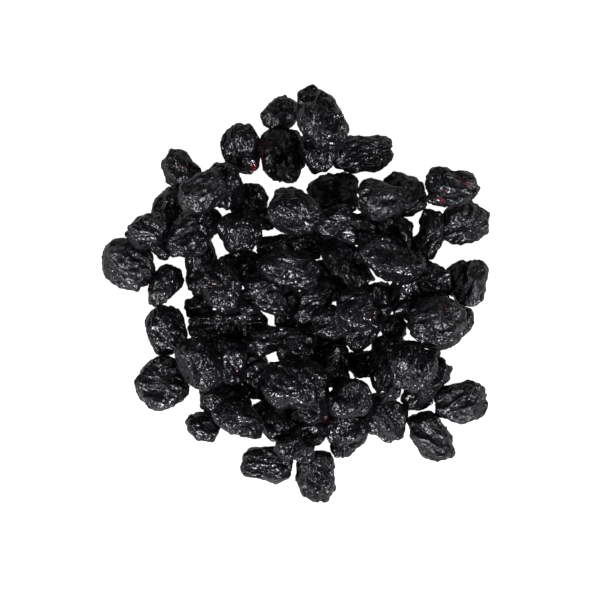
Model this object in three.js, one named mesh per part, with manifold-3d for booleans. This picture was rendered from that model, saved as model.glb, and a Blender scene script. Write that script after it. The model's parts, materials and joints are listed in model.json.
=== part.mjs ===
// A loose heap of dried blueberries: a hundred wrinkled berries that lie on a flat surface and on each
// other, some of them stuck together in twos and threes. Millimetres, +Z up. The origin is the middle of
// the heap's footprint, on the surface.
import * as THREE from "three";
import { mergeVertices } from "three/addons/utils/BufferGeometryUtils.js";
import Module from "manifold-3d";

const wasm = await Module();
wasm.setup();

// How the berries lie
const TOUCH_GAP = 0.27; // clearance between two berries that rest on each other
const SLACK = 0.985; // share of its seen size that a berry has, which leaves room for the clearances
const STUCK_DEPTH = [0.5, 1.6]; // how far berries that stuck together while drying run into each other
const PRESSED = 0.35; // how much of its underside a berry flattens on the surface
const LAYER = 8; // height that one layer of the heap adds before it settles
const BESIDE = 0.35; // berries whose layers differ by less than this lie beside each other
const SIDEWAYS = 0.2; // how readily other berries slide off each other instead of riding up

// How a berry is shaped
const SEED = 39; // another seed gives every berry other lumps
const FLATNESS = [0.74, 0.92]; // height as a share of width, thinnest and fullest
const LEAN = [4, 13]; // degrees that a berry leans, on the surface and on other berries
const SMALL = 6.9; // a berry shorter than this has the coarser skin
const SKIN = { fine: 2, coarse: 1 }; // cuts of each icosahedron edge
const SKIN_COLOUR = 0x17161a;

// The ways a berry dries. Depths and heights are shares of the berry's radius.
const FORMS = {
  plump: { square: 2.4, flats: 6, lumps: 0.1, folds: 4, foldDepth: 0.07, hollow: 0.12, crown: 0.35 },
  folded: { square: 2.2, flats: 5, lumps: 0.08, folds: 5, foldDepth: 0.17, hollow: 0.1, crown: 0.3 },
  sunken: { square: 2.6, flats: 5, lumps: 0.1, folds: 4, foldDepth: 0.09, hollow: 0.38, crown: 0.3 },
  angular: { square: 2.9, flats: 10, lumps: 0.12, folds: 3, foldDepth: 0.08, hollow: 0.16, crown: 0.3 },
  crowned: { square: 2.3, flats: 6, lumps: 0.1, folds: 5, foldDepth: 0.1, hollow: 0.12, crown: 1.0 },
  pointed: { square: 1.9, flats: 5, lumps: 0.1, folds: 4, foldDepth: 0.12, hollow: 0.12, crown: 0.2 },
};

// Every berry of the heap. Rows with the same name are stuck together.
// [name, x, y, length, width, turn of the length from +X, layer, form, rise of that end], angles in degrees
const HEAP = [
  ["north_1", -9.5, 28.9, 10.2, 7.4, 90, 0, "plump"],
  ["north_2", -2.8, 28.0, 11.2, 9.0, 88, 0, "angular"],
  ["north_2", -2.6, 36.3, 7.2, 6.6, 60, 0, "angular"],
  ["north_3", 5.5, 35.0, 13.8, 8.8, 126, 1, "crowned", -24],
  ["north_3", 4.6, 29.0, 9.4, 7.2, 98, 0.3, "plump"],
  ["north_4", 13.2, 27.8, 11.8, 7.8, 5, 0, "plump"],
  ["west_1", -22.7, 24.7, 9.4, 6.8, 132, 0, "crowned"],
  ["west_1", -24.2, 17.7, 8.8, 7.8, 30, 0.3, "plump"],
  ["west_2", -13.9, 21.7, 9.4, 7.4, 95, 0.4, "folded"],
  ["west_4", -16.6, 14.6, 5.4, 4.6, 60, 0.3, "plump"],
  ["west_3", -18.0, 20.4, 10.8, 7.6, 45, 1, "folded"],
  ["west_4", -20.6, 12.1, 11.2, 8.4, 60, 1, "folded"],
  ["west_5", -29.2, 12.6, 9.4, 6.6, 25, 0.4, "sunken"],
  ["west_5", -26.4, 10.0, 6.8, 4.4, 110, 0.5, "plump"],
  ["west_6", -32.7, 5.9, 11.0, 10.2, -10, 0, "plump"],
  ["west_7", -25.9, 1.6, 9.4, 5.8, 58, 0.3, "pointed"],
  ["west_8", -25.5, -7.0, 10.2, 8.0, 97, 0, "folded"],
  ["west_9", -26.5, -17.2, 10.6, 10.0, 25, 0, "angular"],
  ["west_10", -17.9, 6.2, 11.2, 6.8, 90, 0, "sunken"],
  ["west_10", -18.9, -2.7, 6.8, 4.8, 15, 0, "plump"],
  ["west_11", -14.2, 1.4, 10.4, 8.0, 110, 1, "plump"],
  ["west_12", -17.9, -6.4, 8.2, 5.8, 25, 0.3, "folded"],
  ["west_12", -10.4, -5.9, 10.0, 6.2, -12, 0.6, "folded"],
  ["west_13", -18.6, -13.8, 11.0, 8.0, 115, 1, "folded"],
  ["west_14", -13.2, -13.4, 10.0, 7.0, 112, 1, "pointed"],
  ["west_15", -13.3, -21.8, 10.4, 7.0, 0, 0, "plump"],
  ["west_15", -7.8, -15.4, 9.0, 6.0, 90, 0, "plump"],
  ["west_16", -10.9, -24.9, 11.0, 6.4, -22, 1, "plump"],
  ["west_17", -18.1, -26.1, 6.2, 6.0, -80, 0, "crowned"],
  ["centre_1", -11.1, 12.9, 9.0, 8.6, 90, 1, "sunken"],
  ["centre_2", -9.3, 18.7, 8.2, 6.6, 10, 0, "angular"],
  ["centre_2", -6.6, 15.2, 6.0, 4.8, 0, 0, "plump"],
  ["centre_3", 0.3, 16.0, 10.6, 9.2, -10, 1, "folded"],
  ["centre_4", 8.2, 20.8, 10.6, 8.8, 5, 0.3, "sunken"],
  ["centre_5", 7.4, 14.7, 7.6, 5.6, 30, 0.7, "sunken"],
  ["centre_5", 12.7, 13.2, 9.0, 5.8, 0, 0.4, "plump"],
  ["centre_6", 17.6, 17.7, 10.0, 7.8, -5, 1, "sunken"],
  ["centre_6", 22.0, 19.5, 9.4, 8.0, -50, 0.3, "plump"],
  ["centre_7", 20.6, 13.8, 8.4, 6.8, -45, 1, "folded"],
  ["centre_8", 18.8, 7.8, 14.2, 8.0, -22, 1, "plump"],
  ["centre_9", 10.4, 6.9, 13.2, 6.8, -50, 1, "crowned"],
  ["centre_9", 11.0, 1.2, 8.6, 5.4, 15, 0, "plump"],
  ["centre_10", -1.4, 5.6, 12.4, 6.8, -10, 2, "folded"],
  ["centre_10", 1.6, 2.6, 6.8, 4.8, 0, 1, "plump"],
  ["centre_11", -3.0, 9.1, 7.8, 5.2, 5, 0, "sunken"],
  ["centre_11", 2.9, 9.2, 8.8, 6.0, -45, 0, "plump"],
  ["centre_18", -11.3, 6.4, 8.8, 6.6, 10, 0, "plump"],
  ["centre_12", -5.6, 0.4, 10.4, 6.4, -42, 1, "folded"],
  ["centre_13", 4.2, -1.6, 11.2, 6.8, 57, 1, "pointed"],
  ["centre_13", -1.4, -2.4, 8.6, 5.6, 95, 0.3, "plump"],
  ["centre_14", 0.2, -10.2, 7.6, 7.2, 0, 1, "plump"],
  ["centre_14", -5.9, -9.2, 7.6, 5.4, 25, 0.3, "folded"],
  ["centre_15", 12.0, -3.2, 8.6, 8.4, 0, 1, "plump"],
  ["centre_15", 7.0, -4.7, 7.4, 6.0, 10, 1, "plump"],
  ["centre_16", 14.0, -8.5, 8.8, 6.6, 45, 0.3, "sunken"],
  ["centre_16", 17.5, -1.4, 8.2, 5.2, 85, 0.6, "angular"],
  ["centre_17", 7.6, -9.5, 7.4, 4.8, 0, 0, "plump"],
  ["centre_17", 4.2, -14.4, 6.6, 5.4, 0, 0, "folded"],
  ["east_1", 30.6, 21.5, 10.4, 8.4, 12, 0.5, "crowned"],
  ["east_2", 32.9, 13.9, 9.2, 8.8, 0, 0, "plump"],
  ["east_3", 27.4, 12.0, 10.6, 5.8, 80, 0.5, "folded"],
  ["east_3", 24.0, 9.6, 5.6, 4.8, 0, 0, "plump"],
  ["east_4", 26.0, 0.4, 8.8, 6.8, -10, 0, "plump"],
  ["east_4", 19.9, -1.2, 10.0, 6.0, 85, 0.6, "sunken"],
  ["east_4", 28.8, 4.7, 6.8, 6.2, 0, 0.8, "angular"],
  ["east_5", 34.0, 0.5, 9.4, 8.4, 95, 0, "plump"],
  ["east_6", 33.1, -6.0, 7.4, 4.6, 65, 0, "folded"],
  ["east_6", 32.2, -1.9, 5.4, 4.8, 0, 0.4, "angular"],
  ["east_7", 27.9, -6.3, 11.0, 10.2, -15, 1, "plump"],
  ["south_1", 23.4, -13.8, 10.0, 9.2, 60, 1, "plump"],
  ["south_2", 18.3, -16.1, 10.0, 6.2, 100, 1, "folded"],
  ["south_3", 13.8, -14.2, 6.8, 6.2, 0, 0, "angular"],
  ["south_3", 18.6, -9.0, 7.6, 5.4, 0, 0, "plump"],
  ["south_4", 28.1, -17.8, 9.8, 6.0, 50, 1, "crowned"],
  ["south_4", 25.0, -20.5, 6.0, 5.2, 0, 0.3, "plump"],
  ["south_5", 32.3, -20.6, 10.8, 8.2, 12, 0.3, "pointed"],
  ["south_6", 25.0, -27.6, 11.4, 7.3, -55, 0, "folded"],
  ["south_7", 17.6, -26.1, 9.5, 8.7, -20, 0, "plump"],
  ["south_8", 10.9, -20.2, 8.4, 7.8, 0, 1, "sunken"],
  ["south_8", 10.8, -25.6, 7.2, 6.8, 0, 0.6, "plump"],
  ["south_8", 9.9, -30.8, 8.4, 5.2, 38, 0, "folded"],
  ["south_9", 0.4, -18.0, 13.6, 9.6, -5, 1, "plump"],
  ["south_9", 3.2, -22.0, 8.0, 6.2, -20, 1, "angular"],
  ["south_10", 8.4, -14.4, 8.8, 6.2, 72, 1, "sunken"],
  ["south_11", -3.4, -26.0, 7.2, 5.4, 100, 0.6, "folded"],
  ["south_11", -5.9, -22.6, 6.2, 5.2, 0, 0, "plump"],
  ["south_12", 3.0, -26.6, 7.8, 5.4, 15, 0.6, "folded"],
  ["south_12", 6.2, -26.2, 5.4, 4.6, 90, 0, "plump"],
  ["south_12", 0.4, -31.6, 7.8, 5.0, -8, 0.8, "plump"],
  ["south_13", 6.0, -34.1, 10.2, 8.5, -85, 0, "crowned"],
  ["south_14", -5.5, -34.1, 10.6, 6.8, -6, 0, "sunken"],
  // Small ones low down between the others
  ["west_12", -10.0, -9.9, 5.4, 5.0, 0, 0, "plump"],
  ["west_12", -14.8, -8.2, 6.2, 4.8, 0, 0.2, "plump"],
  ["west_15", -13.2, -17.0, 5.2, 4.6, 0, 0, "plump"],
  ["centre_12", -9.2, -1.8, 6.2, 5.4, 0, 0.4, "plump"],
  ["centre_9", 5.0, 5.8, 5.4, 4.8, 0, 0, "plump"],
  ["centre_17", 0.6, -6.9, 6.2, 5.0, 0, 0, "plump"],
  ["south_3", 20.0, -6.4, 5.8, 4.8, 0, 0, "plump"],
  ["south_12", -1.2, -23.9, 5.6, 5.0, 0, 0, "plump"],
  ["south_4", 26.8, -12.9, 5.2, 4.8, 0, 0, "plump"],
];

// Numbers from 0 to 1, the same ones for the same seed
function seeded(seed) {
  let state = seed * 2654435761;
  return () => {
    state = (state + 0x6d2b79f5) | 0;
    let t = Math.imul(state ^ (state >>> 15), 1 | state);
    t = (t + Math.imul(t ^ (t >>> 7), 61 | t)) ^ t;
    return ((t ^ (t >>> 14)) >>> 0) / 4294967296;
  };
}

const between = (random, [low, high]) => low + (high - low) * random();

function randomDirection(random) {
  const z = 2 * random() - 1;
  const around = 2 * Math.PI * random();
  const flat = Math.sqrt(1 - z * z);
  return new THREE.Vector3(flat * Math.cos(around), flat * Math.sin(around), z);
}

// The directions of a berry's skin points, an icosahedron whose edges are cut. One five-sided corner of it
// looks along +X, where the five lobes of the crown are.
function skinDirections(cuts) {
  const corner = Math.atan((1 + Math.sqrt(5)) / 2);
  const sphere = new THREE.IcosahedronGeometry(1, cuts).rotateZ(-corner);
  sphere.deleteAttribute("normal");
  sphere.deleteAttribute("uv");
  return mergeVertices(sphere, 1e-4);
}

// What one berry's skin does, as a share of its radius, in each direction from its middle
function skinRelief(form, random) {
  const lumps = [];
  for (let i = 0; i < 9; i += 1) {
    const sign = i % 2 ? -1 : 1;
    lumps.push({ at: randomDirection(random), height: sign * form.lumps * (0.6 + 0.8 * random()) });
  }
  const lump = 9; // how narrow a lump is
  const flats = [];
  for (let i = 0; i < form.flats; i += 1) {
    flats.push(randomDirection(random).divideScalar(0.8 + 0.16 * random()));
  }
  const edge = 14; // how sharp the ridges between the flats are
  const hollowAt = new THREE.Vector3(0.5 * (random() - 0.5), 0.5 * (random() - 0.5), 1).normalize();
  const hollow = 3.2;
  const phase = 2 * Math.PI * random();
  const sway = 2.5 * (random() - 0.5);
  const grain = [4 + 2 * random(), 5 + 2 * random(), 6 + 2 * random()];
  return (x, y, z) => {
    let cut = 1;
    for (const flat of flats) {
      cut += Math.max(0, x * flat.x + y * flat.y + z * flat.z) ** edge;
    }
    let relief = cut ** (-1 / edge) - 1;
    for (const { at, height } of lumps) {
      relief += height * Math.exp(lump * (x * at.x + y * at.y + z * at.z - 1));
    }
    relief -= form.hollow * Math.exp(hollow * (x * hollowAt.x + y * hollowAt.y + z * hollowAt.z - 1));
    const around = Math.atan2(z, y);
    const fold = Math.abs(Math.sin(0.5 * form.folds * around + phase + sway * x));
    relief += form.foldDepth * (fold - 0.64) * Math.sqrt(1 - Math.min(1, x * x)) * 1.6;
    relief += 0.025 * Math.sin(grain[0] * x + phase) * Math.sin(grain[1] * y) * Math.sin(grain[2] * z + sway);
    const fromCrown = Math.acos(Math.min(1, Math.max(-1, x)));
    relief -= 0.3 * form.crown * Math.exp(-((fromCrown / 0.2) ** 2));
    relief += 0.1 * form.crown * Math.exp(-(((fromCrown - 0.38) / 0.15) ** 2));
    relief -= 0.08 * Math.exp(-(((Math.PI - fromCrown) / 0.25) ** 2));
    return relief;
  };
}

// One berry: its skin points about its middle, turned as it lies, and its radius in any direction
function makeBerry([name, x, y, seenLong, seenWide, turn, layer, formName, rise = 0], index) {
  const form = FORMS[formName];
  const long = seenLong * SLACK;
  const wide = seenWide * SLACK;
  const random = seeded(index + SEED);
  const relief = skinRelief(form, random);
  const tall = wide * between(random, FLATNESS);
  const half = [long / 2, wide / 2, tall / 2];
  const target = [long, wide, tall];
  const radius = (dx, dy, dz) => {
    const power = form.square;
    const across = Math.abs(dx / half[0]) ** power + Math.abs(dy / half[1]) ** power;
    const sum = across + Math.abs(dz / half[2]) ** power;
    return sum ** (-1 / power) * (1 + relief(dx, dy, dz));
  };
  const skin = skinDirections(long < SMALL ? SKIN.coarse : SKIN.fine);
  const directions = skin.getAttribute("position");
  const points = skin.clone();
  const place = points.getAttribute("position");
  for (let pass = 0; pass < 3; pass += 1) {
    const unit = new THREE.Vector3();
    for (let i = 0; i < place.count; i += 1) {
      unit.fromBufferAttribute(directions, i).normalize();
      unit.multiplyScalar(radius(unit.x, unit.y, unit.z));
      place.setXYZ(i, unit.x, unit.y, unit.z);
    }
    points.computeBoundingBox();
    const size = points.boundingBox.getSize(new THREE.Vector3()).toArray();
    if (pass < 2) {
      size.forEach((value, axis) => {
        half[axis] *= target[axis] / value;
      });
    }
  }
  const leanAxis = 2 * Math.PI * random();
  const lean = THREE.MathUtils.degToRad(LEAN[layer > 0 ? 1 : 0]) * (2 * random() - 1);
  const lie = new THREE.Matrix4()
    .makeRotationAxis(new THREE.Vector3(Math.cos(leanAxis), Math.sin(leanAxis), 0), lean)
    .multiply(new THREE.Matrix4().makeRotationZ(THREE.MathUtils.degToRad(turn)))
    .multiply(new THREE.Matrix4().makeRotationY(THREE.MathUtils.degToRad(-rise)));
  points.applyMatrix4(lie);
  points.computeBoundingBox();
  const low = -points.boundingBox.min.z;
  return {
    name,
    layer,
    radius,
    half,
    points,
    skin: place.array,
    toOwn: new THREE.Matrix3().setFromMatrix4(lie).transpose(),
    low,
    reach: Math.max(...half) * 1.15,
    wanted: new THREE.Vector3(x, y, 0),
    middle: new THREE.Vector3(x, y, low + layer * LAYER),
  };
}

// How far the points of one berry's skin are from another berry: the nearest, and the way out of the other
const own = new THREE.Vector3();
function nearest(berry, other) {
  const found = { gap: Infinity, away: new THREE.Vector3() };
  const [a, b, c] = other.half;
  for (let i = 0; i < berry.skin.length; i += 3) {
    own.set(berry.skin[i], berry.skin[i + 1], berry.skin[i + 2]).add(berry.middle).sub(other.middle);
    const distance = own.length();
    if (distance > other.reach + TOUCH_GAP) {
      continue;
    }
    own.applyMatrix3(other.toOwn);
    const gap = distance - other.radius(own.x / distance, own.y / distance, own.z / distance);
    if (gap < found.gap) {
      found.gap = gap;
      found.away.set(own.x / (a * a), own.y / (b * b), own.z / (c * c));
    }
  }
  if (found.gap < Infinity) {
    found.away.applyMatrix3(other.toOwn.clone().transpose()).normalize();
  }
  return found;
}

// Moves two berries apart where they are closer than they may be, and stuck ones together
function part(berry, other) {
  if (berry.middle.distanceTo(other.middle) > berry.reach + other.reach + TOUCH_GAP) {
    return 0;
  }
  const stuck = berry.name === other.name;
  const one = nearest(berry, other);
  const two = nearest(other, berry);
  const closest = one.gap < two.gap ? one : two;
  if (closest.gap === Infinity || (!stuck && closest.gap >= TOUCH_GAP)) {
    return 0;
  }
  const [shallow, deep] = STUCK_DEPTH;
  const wanted = stuck ? THREE.MathUtils.clamp(closest.gap, -deep, -shallow) : TOUCH_GAP;
  const sideways = Math.abs(berry.layer - other.layer) < BESIDE ? 1 : SIDEWAYS;
  const upward = berry.layer + other.layer > 0 ? 1 : 0;
  const ease = new THREE.Vector3(sideways, sideways, upward);
  const push = closest.away.clone().multiply(ease);
  push.multiplyScalar((wanted - closest.gap) / 2 / push.dot(closest.away));
  if (closest === two) {
    push.negate();
  }
  berry.middle.add(push);
  other.middle.sub(push);
  return Math.abs(wanted - closest.gap);
}

// Lowers the berries onto the surface and each other, near the places they were seen in
function settle(berries) {
  const pairs = [];
  berries.forEach((berry, i) => {
    for (const other of berries.slice(i + 1)) {
      if (berry.wanted.distanceTo(other.wanted) < berry.reach + other.reach + 4) {
        pairs.push([berry, other]);
      }
    }
  });
  const falling = 220;
  const resting = 340;
  const longest = 700;
  for (let step = 0; step < longest; step += 1) {
    let [drop, home] = [0, 0];
    if (step < resting) {
      [drop, home] = step < falling ? [0.08, 0.3] : [0.03, 0.1];
    }
    for (const berry of berries) {
      berry.middle.z -= drop;
      berry.middle.x += home * (berry.wanted.x - berry.middle.x);
      berry.middle.y += home * (berry.wanted.y - berry.middle.y);
    }
    let worst = 0;
    for (const [berry, other] of pairs) {
      worst = Math.max(worst, part(berry, other));
    }
    for (const berry of berries) {
      const lowest = berry.low - PRESSED;
      berry.middle.z = berry.layer === 0 ? lowest : Math.max(berry.middle.z, lowest);
    }
    if (step >= resting && worst < 0.01) {
      return;
    }
  }
}

function toSolid(geometry) {
  const vertProperties = Float32Array.from(geometry.getAttribute("position").array);
  const triVerts = Uint32Array.from(geometry.getIndex().array);
  return new wasm.Manifold(new wasm.Mesh({ numProp: 3, vertProperties, triVerts }));
}

function toGeometry(solid) {
  const { vertProperties, triVerts } = solid.getMesh();
  const geometry = new THREE.BufferGeometry();
  geometry.setAttribute("position", new THREE.BufferAttribute(vertProperties, 3));
  geometry.setIndex(new THREE.BufferAttribute(triVerts, 1));
  return geometry;
}

// A berry's skin where it lies, with the underside pressed flat where it meets the surface
function lyingSkin(berry) {
  const geometry = berry.points.clone().translate(berry.middle.x, berry.middle.y, berry.middle.z);
  const place = geometry.getAttribute("position");
  for (let i = 0; i < place.count; i += 1) {
    place.setZ(i, Math.max(place.getZ(i), 0));
  }
  return geometry;
}

const berries = HEAP.map(makeBerry);
settle(berries);

const skins = new Map();
for (const berry of berries) {
  const skin = lyingSkin(berry);
  const known = skins.get(berry.name);
  skins.set(berry.name, known ? toGeometry(toSolid(known).add(toSolid(skin))) : skin);
}

const footprint = new THREE.Box3();
for (const skin of skins.values()) {
  skin.computeBoundingBox();
  footprint.union(skin.boundingBox);
}
const middle = footprint.getCenter(new THREE.Vector3()).setZ(0);

const heap = new THREE.Group();
for (const [name, skin] of skins) {
  const centre = skin.boundingBox.getCenter(new THREE.Vector3());
  skin.translate(-centre.x, -centre.y, -centre.z);
  const material = new THREE.MeshStandardMaterial({ color: SKIN_COLOUR, roughness: 0.4, metalness: 0 });
  const mesh = new THREE.Mesh(skin, material);
  mesh.name = name;
  mesh.position.copy(centre).sub(middle);
  heap.add(mesh);
}

export default heap;
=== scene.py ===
"""How a pile of dried blueberries looks: finely shrivelled skins on a pale surface, in soft studio light."""
import json
import math

import bpy
from mathutils import Matrix, Vector

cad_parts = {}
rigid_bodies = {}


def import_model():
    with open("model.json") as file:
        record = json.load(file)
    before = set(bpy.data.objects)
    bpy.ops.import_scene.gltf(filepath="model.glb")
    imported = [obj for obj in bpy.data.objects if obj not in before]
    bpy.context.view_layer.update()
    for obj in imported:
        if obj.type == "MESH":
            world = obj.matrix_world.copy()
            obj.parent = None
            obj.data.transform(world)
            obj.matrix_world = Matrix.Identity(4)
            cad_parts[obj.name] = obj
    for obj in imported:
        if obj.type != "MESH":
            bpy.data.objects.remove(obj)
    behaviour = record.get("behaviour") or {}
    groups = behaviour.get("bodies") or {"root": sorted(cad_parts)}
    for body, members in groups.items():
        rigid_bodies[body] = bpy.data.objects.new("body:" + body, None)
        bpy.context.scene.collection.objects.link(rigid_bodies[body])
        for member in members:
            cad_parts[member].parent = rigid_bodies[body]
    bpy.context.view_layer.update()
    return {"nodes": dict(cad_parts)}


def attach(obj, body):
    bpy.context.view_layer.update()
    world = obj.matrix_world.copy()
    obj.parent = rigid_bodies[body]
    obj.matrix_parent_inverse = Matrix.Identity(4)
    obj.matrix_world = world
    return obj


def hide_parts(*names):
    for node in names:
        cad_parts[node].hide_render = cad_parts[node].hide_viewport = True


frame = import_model()

MM = 0.001  # metres
WHITE = (1, 1, 1, 1)

# The skin's mesh, in millimetres
SAME_PLACE = 0.001  # corners closer than this are joined
SKIN_MESH = 0.155  # size of a face before the flatter ones are joined
ROUNDING = {"factor": 0.6, "iterations": 16}
KEPT_FACES = 0.512  # share of the faces that is left once the flatter ones are joined
TURNS_TRIED = 24  # directions within half a turn, to find the one a berry is longest in

# How the skin shrivels: size and depth in millimetres, stretch along the berry, the texture's value that
# leaves the skin where it is, and the share of the depth on a dry berry. A depth below 0 turns the
# relief inside out
RELIEFS = {
    "facets": {"size": 3.6, "along": 1.4, "depth": 1.3, "middle": 0.47, "when_dry": 1.0},
    "folds": {"size": 2.3, "along": 2.0, "depth": -0.95, "middle": 0.35, "when_dry": 1.15},
    "wrinkles": {"size": 1.1, "along": 1.6, "depth": 0.2, "middle": 0.5, "when_dry": 0.8},
    "crinkles": {"size": 0.62, "along": 1.4, "depth": -0.28, "middle": 0.33, "when_dry": 0.8},
}

# Drier berries, with deeper folds and shallower wrinkles. Those that aren't torn are duller too
DRY = {
    "centre_4",
    "centre_6",
    "east_1",
    "east_2",
    "east_5",
    "east_7",
    "south_5",
    "south_6",
    "west_3",
    "west_6",
}

# Berries with small torn places, where the dark red flesh shows
TORN = {"east_1", "east_7", "north_2", "south_7", "west_1", "west_9"}

# The three finishes: roughness of dull and of bright patches, strength of the soft sheen, fineness of the
# finest wrinkles, and the value of the spots above which the skin is torn
FINISHES = {
    "moist skin": {"dull": 0.3, "bright": 0.16, "sheen": 0.12, "fineness": 1.0, "torn_above": 0.66},
    "dry skin": {"dull": 0.38, "bright": 0.24, "sheen": 0.25, "fineness": 1.15, "torn_above": 0.66},
    "torn skin": {"dull": 0.34, "bright": 0.2, "sheen": 0.2, "fineness": 1.0, "torn_above": 0.59},
}
LEAST_SHEEN = 0.3  # share of the sheen that is left on bright patches
SHEEN_ROUGHNESS = 0.42
TORN_EDGE = 0.04  # how gradually a torn place begins

# The patches are a noise from 0 to 1. These are its values at which the skin changes
DARK_PATCHES = 0.36  # blue-black up to here
PALER_PATCHES = 0.66  # a little paler here
BROWN_PATCHES = 0.76  # red-brown from here
DULL_TO_BRIGHT = (0.3, 0.7)  # dull up to the first, bright from the second
SHEEN_TO_LEAST = (0.35, 0.65)  # full sheen up to the first, the least from the second

BLUE_BLACK = (0.003, 0.003, 0.004, 1)
PALER_BLACK = (0.006, 0.0055, 0.007, 1)
RED_BROWN = (0.03, 0.009, 0.008, 1)
RED_FLESH = (0.13, 0.008, 0.014, 1)
COOL_WHITE = (0.93, 0.94, 1.0, 1)

# The finest wrinkles, which are only in the material. Noise scales are per millimetre
FINE_RELIEF = 0.2  # height in millimetres
FINE_FOLDS = 0.8  # share of the ridges, and the rest is grain
RIDGES_DRAWN = (0.4, 1.0, 0.8)  # below 1, the ridges are longer that way
SWIRL_REACH = (9.0, 9.0, 9.0)  # how far the ridges are bent, in millimetres
SWIRL_NOISE = (0.16, 1.0)  # scale and detail, as in the next four
RIDGE_NOISE = (1.5, 1.0)
GRAIN_NOISE = (2.6, 2.0)
PATCH_NOISE = (0.22, 4.0)
SPOT_NOISE = (0.11, 6.0)
SPOT_ROUGHNESS = 0.8

# The pale surface
FLOOR_SIZE = 3  # metres
FLOOR_COLOUR = (0.6, 0.6, 0.6, 1)
FLOOR_ROUGHNESS = 0.9
FLOOR_GLOW = (0.08, 1.0)  # what it lights the berries with, and what the camera sees

# The studio
SURROUND = 0.005  # strength of the white surroundings
LIGHTS = (  # each light's name, place and size in metres, and power in watts
    ("above", (0.0, -0.15, 1.0), 0.2, 0.55),
    ("behind", (0.1, 0.55, 0.5), 0.08, 0.3),
    ("front", (-0.05, -0.6, 0.5), 0.09, 5.6),
    ("left", (-0.65, -0.2, 0.42), 0.07, 2.3),
    ("right", (0.65, -0.1, 0.42), 0.07, 2.0),
)
PICTURE_WIDTH = 118 * MM
CAMERA_HEIGHT = 0.8  # metres above the heap's middle
HEAP_MIDDLE = Vector((0.00003, -0.0002, 0.006))  # metres


def work_on(piece):
    """Makes one piece the only selected and active one."""
    if bpy.context.object and bpy.context.object.mode != "OBJECT":
        bpy.ops.object.mode_set(mode="OBJECT")
    bpy.ops.object.select_all(action="DESELECT")
    piece.select_set(True)
    bpy.context.view_layer.objects.active = piece


def deselect_corners(piece):
    """Leaves none of a piece's corners selected."""
    work_on(piece)
    bpy.ops.object.mode_set(mode="EDIT")
    bpy.ops.mesh.select_mode(type="VERT")
    bpy.ops.mesh.select_all(action="DESELECT")
    bpy.ops.object.mode_set(mode="OBJECT")


def apply_modifier(piece, kind, name, **settings):
    """Adds a modifier to a piece and applies it."""
    work_on(piece)
    modifier = piece.modifiers.new(name, kind)
    for key, value in settings.items():
        setattr(modifier, key, value)
    bpy.ops.object.modifier_apply(modifier=modifier.name)


def shrivel_texture(name, kind, **settings):
    """A relief for the Displace modifier. Its size comes from the marker it is placed by."""
    texture = bpy.data.textures.new(name, kind)
    texture.noise_scale = 1.0
    for key, value in settings.items():
        setattr(texture, key, value)
    return texture


def long_way(piece):
    """The direction a berry or clump is longest in, as a turn from X about Z."""
    points = [vertex.co for vertex in piece.data.vertices]
    best = 0.0
    turn = 0.0
    for step in range(TURNS_TRIED):
        angle = math.pi * step / TURNS_TRIED
        way = Vector((math.cos(angle), math.sin(angle), 0))
        reach = [point.dot(way) for point in points]
        if max(reach) - min(reach) > best:
            best = max(reach) - min(reach)
            turn = angle
    return turn


def lengthwise(turn, size, along):
    """A marker that stretches a relief along the berry."""
    marker = bpy.data.objects.new("lengthwise", None)
    bpy.context.scene.collection.objects.link(marker)
    stretch = Matrix.Diagonal((size * along * MM, size * MM, size * MM, 1))
    marker.matrix_world = Matrix.Rotation(turn, 4, "Z") @ stretch
    return marker


def shrivel(piece, turn, texture, look, share):
    """Raises one relief on a piece's skin."""
    marker = lengthwise(turn, look["size"], look["along"])
    bpy.context.view_layer.update()
    apply_modifier(
        piece,
        "DISPLACE",
        texture.name,
        texture=texture,
        texture_coords="OBJECT",
        texture_coords_object=marker,
        strength=look["depth"] * share * MM,
        mid_level=look["middle"],
    )
    bpy.data.objects.remove(marker)


def keep_outer_shell(piece):
    """Deletes the bubbles that a remesh can leave inside a clump."""
    deselect_corners(piece)
    top = max(piece.data.vertices, key=lambda vertex: vertex.co.z)
    top.select = True
    bpy.ops.object.mode_set(mode="EDIT")
    bpy.ops.mesh.select_linked()
    bpy.ops.mesh.select_all(action="INVERT")
    bpy.ops.mesh.delete(type="VERT")
    bpy.ops.object.mode_set(mode="OBJECT")


def rest_on_surface(piece):
    """Flattens what would reach below the surface."""
    deselect_corners(piece)
    below = [vertex for vertex in piece.data.vertices if vertex.co.z < 0]
    for vertex in below:
        vertex.select = True
    if below:
        bpy.ops.object.mode_set(mode="EDIT")
        bpy.ops.transform.resize(value=(1, 1, 0), center_override=(0, 0, 0))
        bpy.ops.object.mode_set(mode="OBJECT")


def finish_of(node):
    """The name of a berry's finish."""
    if node in TORN:
        return "torn skin"
    if node in DRY:
        return "dry skin"
    return "moist skin"


def shrivelled_skin(node):
    """One berry, or berries stuck together, with the fine skin in place of the plain one."""
    plain = frame["nodes"][node]
    piece = bpy.data.objects.new("skin_" + node, plain.data.copy())
    bpy.context.scene.collection.objects.link(piece)
    work_on(piece)
    bpy.ops.object.mode_set(mode="EDIT")
    bpy.ops.mesh.select_all(action="SELECT")
    bpy.ops.mesh.remove_doubles(threshold=SAME_PLACE * MM)
    bpy.ops.object.mode_set(mode="OBJECT")
    turn = long_way(piece)
    apply_modifier(piece, "REMESH", "even faces", mode="VOXEL", voxel_size=SKIN_MESH * MM)
    keep_outer_shell(piece)
    apply_modifier(piece, "SMOOTH", "rounded", **ROUNDING)
    for name, look in RELIEFS.items():
        share = look["when_dry"] if node in DRY else 1.0
        shrivel(piece, turn, textures[name], look, share)
    apply_modifier(piece, "DECIMATE", "fewer faces where flat", ratio=KEPT_FACES)
    rest_on_surface(piece)
    work_on(piece)
    bpy.ops.object.shade_smooth()
    piece.data.materials.clear()
    piece.data.materials.append(finishes[finish_of(node)])
    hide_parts(node)
    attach(piece, "root")


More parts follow.
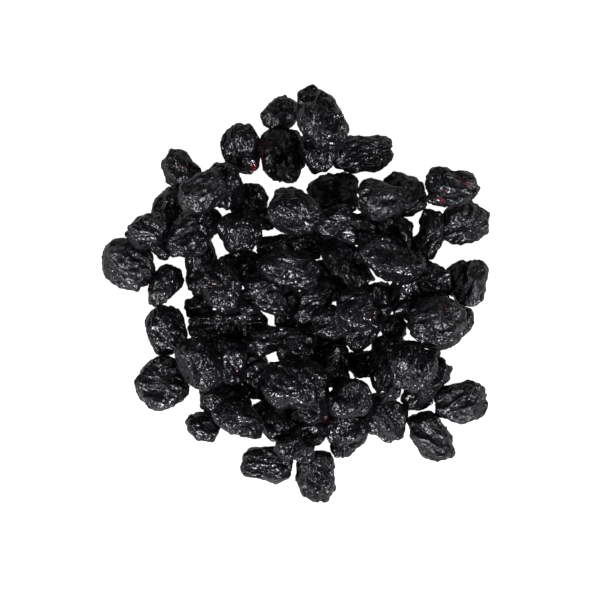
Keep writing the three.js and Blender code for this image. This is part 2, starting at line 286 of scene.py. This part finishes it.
def noise(tree, place, scale_and_detail):
    """Adds a noise texture to a node tree."""
    texture = tree.nodes.new("ShaderNodeTexNoise")
    scale, detail = scale_and_detail
    texture.inputs["Scale"].default_value = scale
    texture.inputs["Detail"].default_value = detail
    tree.links.new(place, texture.inputs["Vector"])
    return texture


def change_over(tree, value, given, made):
    """Adds a node that turns one range of a value into another, and gives its output."""
    change = tree.nodes.new("ShaderNodeMapRange")
    for name, number in zip(("From Min", "From Max", "To Min", "To Max"), (*given, *made)):
        change.inputs[name].default_value = number
    tree.links.new(value, change.inputs["Value"])
    return change.outputs["Result"]


def relief_group():
    """Wrinkles finer than the mesh as a height, with patches of gloss and torn spots."""
    group = bpy.data.node_groups.new("fine skin", "ShaderNodeTree")
    for name in ("Scale", "Fold", "Torn"):
        group.interface.new_socket(name, in_out="INPUT", socket_type="NodeSocketFloat")
    for name in ("Height", "Patches", "Spots"):
        group.interface.new_socket(name, in_out="OUTPUT", socket_type="NodeSocketFloat")
    nodes, links = group.nodes, group.links
    given = nodes.new("NodeGroupInput")
    out = nodes.new("NodeGroupOutput")
    place = nodes.new("ShaderNodeTexCoord")
    scaled = nodes.new("ShaderNodeVectorMath")
    scaled.operation = "SCALE"
    links.new(place.outputs["Object"], scaled.inputs[0])
    links.new(given.outputs["Scale"], scaled.inputs["Scale"])

    swirl = noise(group, scaled.outputs[0], SWIRL_NOISE)
    bent = nodes.new("ShaderNodeVectorMath")
    bent.operation = "MULTIPLY_ADD"
    bent.inputs[1].default_value = SWIRL_REACH
    links.new(swirl.outputs["Color"], bent.inputs[0])
    links.new(scaled.outputs[0], bent.inputs[2])
    drawn = nodes.new("ShaderNodeVectorMath")
    drawn.operation = "MULTIPLY"
    drawn.inputs[1].default_value = RIDGES_DRAWN
    links.new(bent.outputs[0], drawn.inputs[0])
    ridges = noise(group, drawn.outputs[0], RIDGE_NOISE)
    ridges.noise_type = "RIDGED_MULTIFRACTAL"
    grain = noise(group, scaled.outputs[0], GRAIN_NOISE)
    mixed = nodes.new("ShaderNodeMix")
    mixed.data_type = "FLOAT"
    links.new(given.outputs["Fold"], mixed.inputs["Factor"])
    links.new(grain.outputs["Fac"], mixed.inputs["A"])
    links.new(ridges.outputs["Fac"], mixed.inputs["B"])
    links.new(mixed.outputs["Result"], out.inputs["Height"])

    patches = noise(group, scaled.outputs[0], PATCH_NOISE)
    links.new(patches.outputs["Fac"], out.inputs["Patches"])

    spots = noise(group, scaled.outputs[0], SPOT_NOISE)
    spots.inputs["Roughness"].default_value = SPOT_ROUGHNESS
    full = nodes.new("ShaderNodeMath")
    full.inputs[1].default_value = TORN_EDGE
    links.new(given.outputs["Torn"], full.inputs[0])
    spot = nodes.new("ShaderNodeMapRange")
    links.new(given.outputs["Torn"], spot.inputs["From Min"])
    links.new(full.outputs[0], spot.inputs["From Max"])
    links.new(spots.outputs["Fac"], spot.inputs["Value"])
    links.new(spot.outputs["Result"], out.inputs["Spots"])
    return group


def berry_skin(name, dull, bright, sheen, fineness, torn_above):
    """Blue-black dried skin: crisp glints under a soft sheen, brown patches and torn red places."""
    material = bpy.data.materials.new(name)
    material.use_nodes = True
    tree = material.node_tree
    nodes, links = tree.nodes, tree.links
    shader = nodes["Principled BSDF"]
    shader.inputs["IOR"].default_value = 1.5
    shader.inputs["Specular IOR Level"].default_value = 0.5
    shader.inputs["Specular Tint"].default_value = COOL_WHITE
    shader.inputs["Coat Roughness"].default_value = SHEEN_ROUGHNESS
    fine = nodes.new("ShaderNodeGroup")
    fine.node_tree = fine_skin
    fine.inputs["Scale"].default_value = fineness / MM
    fine.inputs["Fold"].default_value = FINE_FOLDS
    fine.inputs["Torn"].default_value = torn_above
    patches = fine.outputs["Patches"]

    tint = nodes.new("ShaderNodeValToRGB")
    tint.color_ramp.elements[0].position = DARK_PATCHES
    tint.color_ramp.elements[0].color = BLUE_BLACK
    tint.color_ramp.elements[1].position = BROWN_PATCHES
    tint.color_ramp.elements[1].color = RED_BROWN
    middle = tint.color_ramp.elements.new(PALER_PATCHES)
    middle.color = PALER_BLACK
    links.new(patches, tint.inputs["Fac"])
    torn = nodes.new("ShaderNodeMix")
    torn.data_type = "RGBA"
    torn.inputs["B"].default_value = RED_FLESH
    links.new(fine.outputs["Spots"], torn.inputs["Factor"])
    links.new(tint.outputs["Color"], torn.inputs["A"])
    links.new(torn.outputs["Result"], shader.inputs["Base Color"])

    rough = change_over(tree, patches, DULL_TO_BRIGHT, (dull, bright))
    links.new(rough, shader.inputs["Roughness"])
    coat = change_over(tree, patches, SHEEN_TO_LEAST, (sheen, LEAST_SHEEN * sheen))
    links.new(coat, shader.inputs["Coat Weight"])
    bump = nodes.new("ShaderNodeBump")
    bump.inputs["Strength"].default_value = 1.0
    bump.inputs["Distance"].default_value = FINE_RELIEF * MM
    links.new(fine.outputs["Height"], bump.inputs["Height"])
    links.new(bump.outputs["Normal"], shader.inputs["Normal"])
    return material


def pale_surface():
    """The plain surface the pile lies on."""
    bpy.ops.object.select_all(action="DESELECT")
    bpy.ops.mesh.primitive_plane_add(size=FLOOR_SIZE, location=(0, 0, 0))
    floor = bpy.context.object
    floor.name = "pale_surface"
    material = bpy.data.materials.new("pale surface")
    material.use_nodes = True
    tree = material.node_tree
    shader = tree.nodes["Principled BSDF"]
    shader.inputs["Base Color"].default_value = FLOOR_COLOUR
    shader.inputs["Roughness"].default_value = FLOOR_ROUGHNESS
    shader.inputs["Emission Color"].default_value = WHITE
    path = tree.nodes.new("ShaderNodeLightPath")
    glow = change_over(tree, path.outputs["Is Camera Ray"], (0.0, 1.0), FLOOR_GLOW)
    tree.links.new(glow, shader.inputs["Emission Strength"])
    floor.data.materials.append(material)


def soft_light(name, place, size, power):
    """A square soft light that shines on the pile."""
    data = bpy.data.lights.new(name, "AREA")
    data.size = size
    data.energy = power
    light = bpy.data.objects.new(name, data)
    light.location = place
    light.rotation_euler = (HEAP_MIDDLE - Vector(place)).to_track_quat("-Z", "Y").to_euler()
    bpy.context.scene.collection.objects.link(light)


def studio():
    """Nearly dark surroundings, five soft lights and the camera straight above."""
    world = bpy.data.worlds.new("studio")
    world.use_nodes = True
    background = world.node_tree.nodes["Background"]
    background.inputs["Color"].default_value = WHITE
    background.inputs["Strength"].default_value = SURROUND
    bpy.context.scene.world = world
    for name, place, size, power in LIGHTS:
        soft_light(name, place, size, power)
    camera = bpy.data.cameras.new("camera")
    camera.lens = camera.sensor_width * CAMERA_HEIGHT / PICTURE_WIDTH
    view = bpy.data.objects.new("camera", camera)
    view.location = HEAP_MIDDLE + Vector((0, 0, CAMERA_HEIGHT))
    bpy.context.scene.collection.objects.link(view)
    bpy.context.scene.camera = view
    bpy.context.scene.view_settings.view_transform = "Standard"


textures = {
    "facets": shrivel_texture("facets", "VORONOI", distance_metric="DISTANCE"),
    "folds": shrivel_texture("folds", "CLOUDS", noise_depth=1, noise_type="HARD_NOISE"),
    "wrinkles": shrivel_texture("wrinkles", "VORONOI", distance_metric="DISTANCE"),
    "crinkles": shrivel_texture("crinkles", "CLOUDS", noise_depth=2, noise_type="HARD_NOISE"),
}
fine_skin = relief_group()
finishes = {name: berry_skin(name, **look) for name, look in FINISHES.items()}
for node_name in sorted(frame["nodes"]):
    shrivelled_skin(node_name)
pale_surface()
studio()
